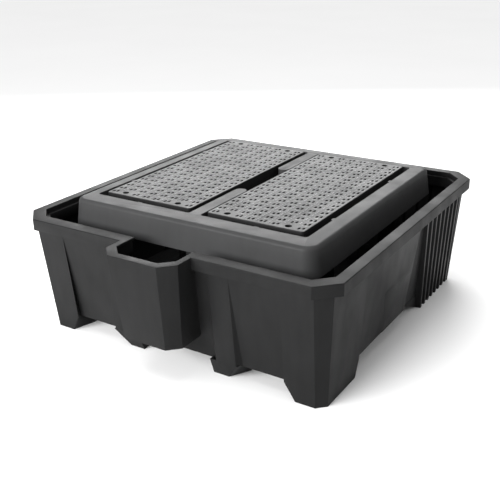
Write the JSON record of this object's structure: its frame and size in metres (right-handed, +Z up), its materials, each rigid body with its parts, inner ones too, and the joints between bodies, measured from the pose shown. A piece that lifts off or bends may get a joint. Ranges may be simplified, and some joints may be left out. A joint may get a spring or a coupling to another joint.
{
  "type": "spill containment pallet",
  "caption": "Moulded plastic spill containment pallet: open sump tub with a dispensing well, fork pockets below, and a lift-out deck with two slotted grates.",
  "frame": {"origin": "on the ground, under the middle of the square rim of the tub", "axes": "+Z up, the dispensing well faces -Y, +X to the right of someone who faces the well"},
  "size_m": [1.6, 1.7825, 0.642],
  "materials": {
    "tub_plastic": "dark grey recycled polyethylene, fine moulded grain, satin",
    "deck_plastic": "dark grey recycled polyethylene, fine moulded grain, satin",
    "grate_plastic": "mid grey polyethylene, textured anti-slip top"
  },
  "bodies": {
    "tub": {"sump_tub": "tub_plastic"},
    "deck": {"support_deck": "deck_plastic"},
    "left_grate": {"left_grate": "grate_plastic"},
    "right_grate": {"right_grate": "grate_plastic"}
  },
  "joints": [
    {"name": "deck_lift", "type": "slide", "parent": "tub", "child": "deck", "axis": [0, 0, 1], "range_m": [0, 0.56]},
    {"name": "left_grate_lift", "type": "slide", "parent": "deck", "child": "left_grate", "axis": [0, 0, 1], "range_m": [0, 0.16]},
    {"name": "right_grate_lift", "type": "slide", "parent": "deck", "child": "right_grate", "axis": [0, 0, 1], "range_m": [0, 0.16]}
  ]
}
